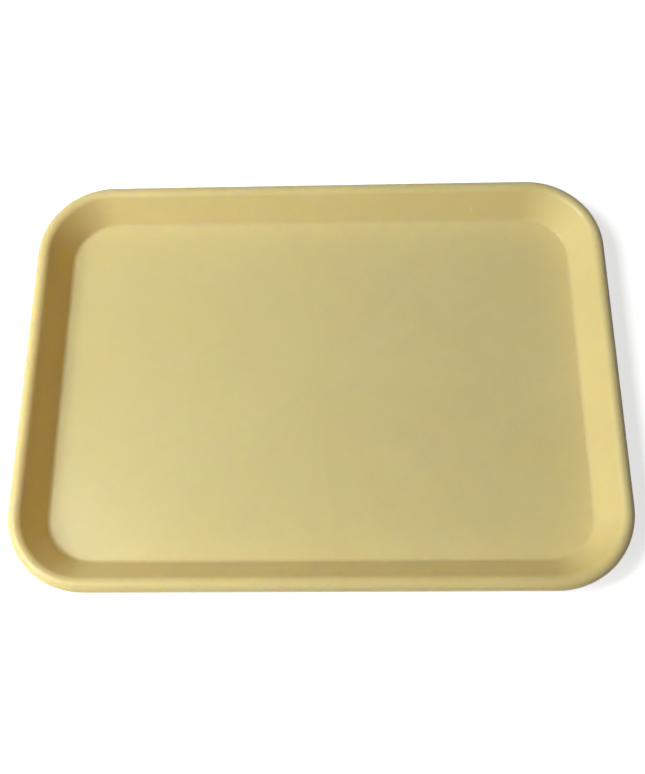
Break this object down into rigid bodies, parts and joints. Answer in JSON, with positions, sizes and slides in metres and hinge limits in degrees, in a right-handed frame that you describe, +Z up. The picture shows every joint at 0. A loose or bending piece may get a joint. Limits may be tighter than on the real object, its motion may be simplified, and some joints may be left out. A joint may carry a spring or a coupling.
{
  "type": "flat dental instrument tray",
  "caption": "Shallow rectangular plastic tray with round corners, a sloping wall, a rolled rim with a turned-down lip, and a foot ring; carries dental instruments.",
  "frame": {"origin": "centre of the tray, in the plane of the foot ring that it stands on", "axes": "+X along the tray, +Y across it away from the user, +Z up out of the well"},
  "size_m": [0.3398, 0.2444, 0.0222],
  "materials": {
    "tray_plastic": "pale yellow, satin gloss, slightly worn"
  },
  "bodies": {
    "root": {"tray": "tray_plastic"}
  },
  "joints": []
}
